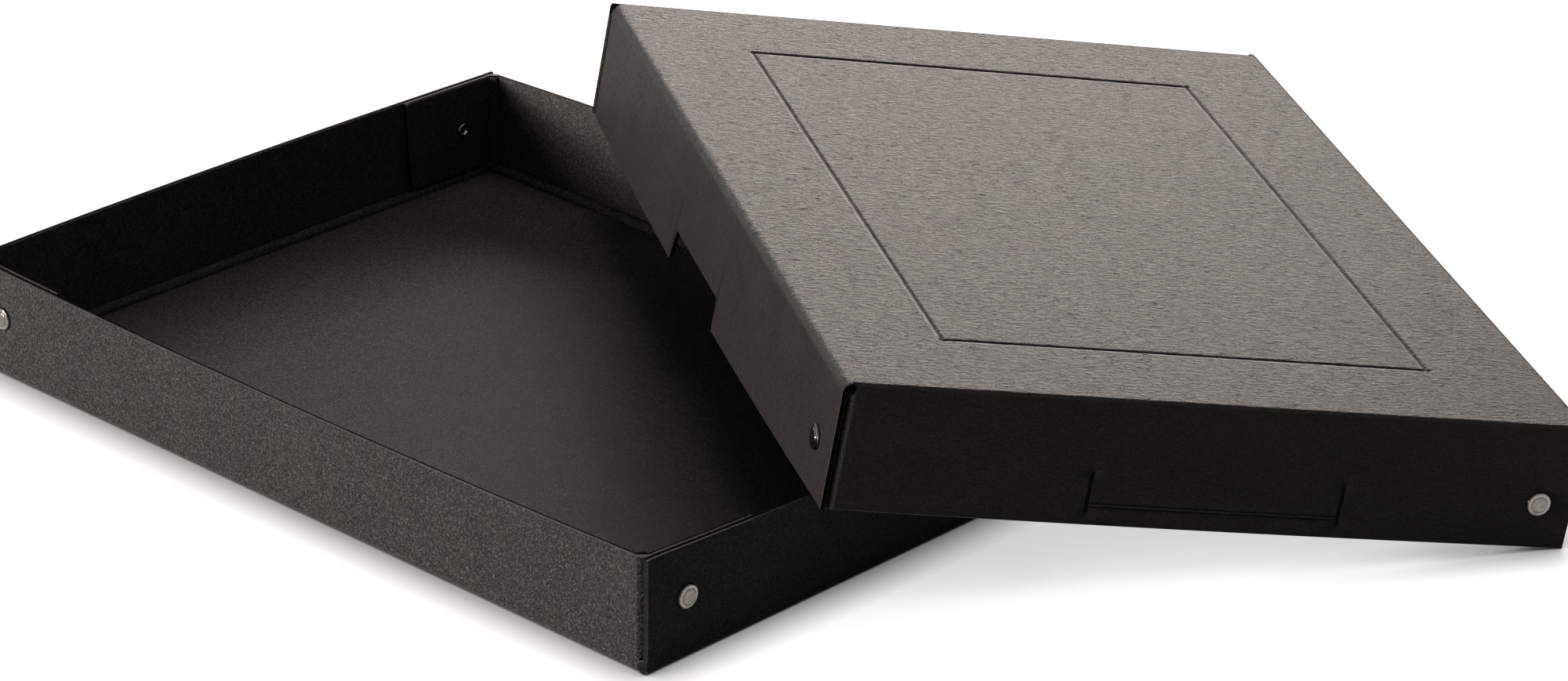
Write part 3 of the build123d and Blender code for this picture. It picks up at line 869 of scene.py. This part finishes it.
def rivet_profile():
    """The rivet's half section, from the middle of its head round to the bottom of its bore.

    Its points are radius and height over the wall's skin: the dome, the step, the collar, the rim and
    the seat, then the shank, the clinch ring's outer and inner sides and the bore.
    """
    seat = -(RIVET_GRIP + SEAT_GAP)
    return np.concatenate(
        [
            arc((0, 1.42), (2.5, 1.16), 0.06, 8),
            arc((2.56, 1.12), (2.74, 0.98), 0.02, 4),
            arc((2.8, 0.98), (3.4, 0.86), 0.03, 5),
            arc((3.45, 0.84), (HEAD_RADIUS, 0.3), 0.16, 9),
            arc((HEAD_RADIUS - 0.03, 0.26), (HEAD_RADIUS - 0.2, 0.16), 0.02, 4),
            arc((3.8, 0.13), (3.7, 0.03), 0, 3),
            arc((3.6, 0.03), (1.66, 0.03), 0, 3),
            arc((1.6, 0.0), (1.6, seat + 0.02), 0, 3),
            arc((1.66, seat), (2.4, seat), 0, 3),
            arc((2.5, seat - 0.02), (2.05, seat - 0.88), 0.28, 9),
            arc((1.98, seat - 0.9), (1.0, seat + 0.15), 0.16, 9),
            arc((0.98, seat + 0.3), (0.95, seat + 1.5), 0, 3),
            arc((0.85, seat + 1.62), (0, seat + 2.0), 0, 3),
        ]
    )


def rivet_place(size, side, bow, inset, level):
    """Where a rivet sits: square to the bowed wall, with its head outside.

    Its two turns are the wall's slopes along and up, taken over a short step.
    """
    length = size[side % 2]
    corner, angle = side_frames(size)[side]
    step = 0.5
    reach = wall_bow(length, size[2], bow, inset, level)
    along = (wall_bow(length, size[2], bow, inset + step, level) - reach) / step
    up = (wall_bow(length, size[2], bow, inset, level + step) - reach) / step
    return (
        Matrix.Translation((*corner, 0))
        @ Matrix.Rotation(angle, 4, "Z")
        @ Matrix.Translation((inset, -reach, level))
        @ Matrix.Rotation(-math.atan(along), 4, "Z")
        @ Matrix.Rotation(math.atan(up), 4, "X")
        @ Matrix.Rotation(math.pi / 2, 4, "X")
    )


def nickel_material():
    """Polished nickel plate: faintly warm, with fine tumbling marks, darker in the step and with painted
    shade at the rim.
    """
    material = bpy.data.materials.new("nickel_plate")
    material.use_nodes = True
    nodes, links = material.node_tree.nodes, material.node_tree.links
    shader = nodes["Principled BSDF"]
    place = nodes.new("ShaderNodeTexCoord")
    marks = nodes.new("ShaderNodeTexNoise")
    marks.inputs["Scale"].default_value = 900
    marks.inputs["Detail"].default_value = 4
    links.new(place.outputs["Object"], marks.inputs["Vector"])
    tint = nodes.new("ShaderNodeValToRGB")
    tint.color_ramp.elements[0].position = 0.3
    tint.color_ramp.elements[0].color = (*NICKEL_DARK, 1)
    tint.color_ramp.elements[1].position = 0.7
    tint.color_ramp.elements[1].color = (*NICKEL_PALE, 1)
    links.new(marks.outputs["Fac"], tint.inputs["Fac"])
    radius = nodes.new("ShaderNodeAttribute")
    radius.attribute_name = "radius"
    share = nodes.new("ShaderNodeMath")
    share.operation = "DIVIDE"
    share.inputs[1].default_value = HEAD_RADIUS
    links.new(radius.outputs["Fac"], share.inputs[0])
    rim = nodes.new("ShaderNodeValToRGB")
    stops = rim.color_ramp.elements
    stops.remove(stops[1])
    for at, bright in PLATE_TONE_AND_SHADE[1:]:
        stops.new(at / HEAD_RADIUS).color = (bright, bright, bright, 1)
    stops[0].color = (PLATE_TONE_AND_SHADE[0][1], PLATE_TONE_AND_SHADE[0][1], PLATE_TONE_AND_SHADE[0][1], 1)
    links.new(share.outputs["Value"], rim.inputs["Fac"])
    plate = nodes.new("ShaderNodeMix")
    plate.data_type = "RGBA"
    plate.inputs[6].default_value = (0, 0, 0, 1)
    links.new(rim.outputs["Color"], plate.inputs["Factor"])
    links.new(tint.outputs["Color"], plate.inputs[7])
    links.new(plate.outputs[2], shader.inputs["Base Color"])
    rough = nodes.new("ShaderNodeMapRange")
    rough.inputs["To Min"].default_value = 0.08
    rough.inputs["To Max"].default_value = 0.2
    links.new(marks.outputs["Fac"], rough.inputs["Value"])
    links.new(rough.outputs["Result"], shader.inputs["Roughness"])
    shader.inputs["Metallic"].default_value = 1.0
    bump = nodes.new("ShaderNodeBump")
    bump.inputs["Strength"].default_value = 0.3
    bump.inputs["Distance"].default_value = 0.03 * MM
    links.new(marks.outputs["Fac"], bump.inputs["Height"])
    links.new(bump.outputs["Normal"], shader.inputs["Normal"])
    return material


nickel = nickel_material()
section = rivet_profile()
tray_walls = ("front_right", "back_right", "back_left", "front_left")
lid_walls = ("front", "left", "back", "right")
halves = (
    ("tray", tray_walls, TRAY_SIZE, TRAY_BOWS, TRAY_INSETS, TRAY_LEVELS, TRAY_PLACE),
    ("lid", lid_walls, LID_SIZE, LID_BOWS, LID_INSETS, LID_LEVELS, LID_PLACE),
)
for half, walls, size, bows, insets, levels, half_place in halves:
    for side, wall in enumerate(walls):
        spot = rivet_place(size, side, bows[side], insets[side], levels[side])
        rivet = turned(f"{half}_stud_{wall}", section, half_place @ spot)
        rivet.data.materials.append(nickel)
        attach(rivet, half)
        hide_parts(f"{half}_rivet_{wall}")

# The floor that the box stands on: a matt white table that keeps the box's shadow. The camera, and
# anything glossy, also sees it as a white background, which dims where the box stands close over it:
# a painted shadow, beside the box and under the lid.
TABLE_REACH = 12.0
FLOOR_COLOUR = (0.5, 0.5, 0.5)
FLOOR_GLOW = 1.0

# The painted shadow's two dimmings, close beside the box and under the lid: each one's reach in metres,
# how open the floor is where it is full and where it ends, and the glow that is left where it is full
CONTACT = (0.0165, 0.27, 1.0, 0.0)
UNDER = (0.1, 0.2, 0.5, 0.6)


def white_rays(tree):
    """One where a ray comes from the camera or from something glossy or clear, and zero elsewhere."""
    rays = tree.nodes.new("ShaderNodeLightPath")
    seen = rays.outputs["Is Camera Ray"]
    for kind in ("Is Glossy Ray", "Is Transmission Ray"):
        either = tree.nodes.new("ShaderNodeMath")
        either.operation = "MAXIMUM"
        tree.links.new(seen, either.inputs[0])
        tree.links.new(rays.outputs[kind], either.inputs[1])
        seen = either.outputs["Value"]
    return seen


floor_mesh = bpy.data.meshes.new("table_top")
floor_corners = [(TABLE_REACH * x, TABLE_REACH * y, 0) for x, y in ((-1, -1), (1, -1), (1, 1), (-1, 1))]
floor_mesh.from_pydata(floor_corners, [], [(0, 1, 2, 3)])
table_top = bpy.data.objects.new("table_top", floor_mesh)
bpy.context.scene.collection.objects.link(table_top)
white = bpy.data.materials.new("white_table")
white.use_nodes = True
nodes, links = white.node_tree.nodes, white.node_tree.links
nodes.remove(nodes["Principled BSDF"])
matt = nodes.new("ShaderNodeBsdfDiffuse")
matt.inputs["Color"].default_value = (*FLOOR_COLOUR, 1)
strength = white_rays(white.node_tree)
# Both dimmings paint the box's shadow into the floor's glow
for span, dark, clear, least in (CONTACT, UNDER):
    closeness = nodes.new("ShaderNodeAmbientOcclusion")
    closeness.samples = 6
    closeness.inputs["Distance"].default_value = span
    dimmed = nodes.new("ShaderNodeMapRange")
    dimmed.inputs["From Min"].default_value = dark
    dimmed.inputs["From Max"].default_value = clear
    dimmed.inputs["To Min"].default_value = least
    dimmed.inputs["To Max"].default_value = FLOOR_GLOW
    links.new(closeness.outputs["AO"], dimmed.inputs["Value"])
    product = nodes.new("ShaderNodeMath")
    product.operation = "MULTIPLY"
    links.new(strength, product.inputs[0])
    links.new(dimmed.outputs["Result"], product.inputs[1])
    strength = product.outputs["Value"]
glow = nodes.new("ShaderNodeEmission")
links.new(strength, glow.inputs["Strength"])
both = nodes.new("ShaderNodeAddShader")
links.new(matt.outputs["BSDF"], both.inputs[0])
links.new(glow.outputs["Emission"], both.inputs[1])
links.new(both.outputs["Shader"], nodes["Material Output"].inputs["Surface"])
floor_mesh.materials.append(white)

# The room: white where the camera or a glossy surface looks, and dim as a source of light
ROOM_LIGHT = 0.03
world = bpy.data.worlds.new("studio")
bpy.context.scene.world = world
world.use_nodes = True
nodes, links = world.node_tree.nodes, world.node_tree.links
background = nodes["Background"]
background.inputs["Color"].default_value = (1, 1, 1, 1)
level = nodes.new("ShaderNodeMapRange")
level.inputs["To Min"].default_value = ROOM_LIGHT
level.inputs["To Max"].default_value = 1.0
links.new(white_rays(world.node_tree), level.inputs["Value"])
links.new(level.outputs["Result"], background.inputs["Strength"])

# The lamps: a large soft box low behind the lid, a smaller one to the left of the tray, and a weak one
# overhead
LAMP_AIM = Vector((0.05, -0.02, 0.04))
LAMP_TINT = (1.0, 0.885, 0.8)


def soft_box(name, distance, azimuth, elevation, size, power):
    """A soft lamp that faces the box from a compass angle, in degrees from +X, and a height angle."""
    azimuth, elevation = math.radians(azimuth), math.radians(elevation)
    level_reach = math.cos(elevation)
    offset = Vector((math.cos(azimuth) * level_reach, math.sin(azimuth) * level_reach, math.sin(elevation)))
    lamp = bpy.data.lights.new(name, "AREA")
    lamp.shape = "RECTANGLE"
    lamp.size, lamp.size_y = size
    lamp.energy = power
    lamp.color = LAMP_TINT
    holder = bpy.data.objects.new(name, lamp)
    holder.location = LAMP_AIM + distance * offset
    holder.rotation_euler = (-offset).to_track_quat("-Z", "Y").to_euler()
    bpy.context.scene.collection.objects.link(holder)


soft_box("back_lamp", distance=1.25, azimuth=33, elevation=16, size=(0.9, 0.6), power=24.5)
soft_box("left_lamp", distance=2.5, azimuth=156, elevation=5.5, size=(1.0, 0.3), power=60)
soft_box("top_lamp", distance=2.5, azimuth=33, elevation=78, size=(1.0, 1.0), power=6)

# The camera, at the photograph's place and angle
EYE = Vector((-1.10367, -1.11993, 0.73665))
LOOK_AT = Vector((0.03705, -0.06579, 0.03))
CAMERA_ROLL = math.radians(1.079)
FOCAL_LENGTH = 120.32
lens = bpy.data.cameras.new("view")
lens.sensor_fit = "HORIZONTAL"
lens.sensor_width = 36.0
lens.lens = FOCAL_LENGTH
camera = bpy.data.objects.new("view", lens)
aim = (LOOK_AT - EYE).to_track_quat("-Z", "Y").to_matrix().to_4x4()
camera.matrix_world = Matrix.Translation(EYE) @ aim @ Matrix.Rotation(CAMERA_ROLL, 4, "Z")
bpy.context.scene.collection.objects.link(camera)
bpy.context.scene.camera = camera
bpy.context.scene.view_settings.view_transform = "Standard"
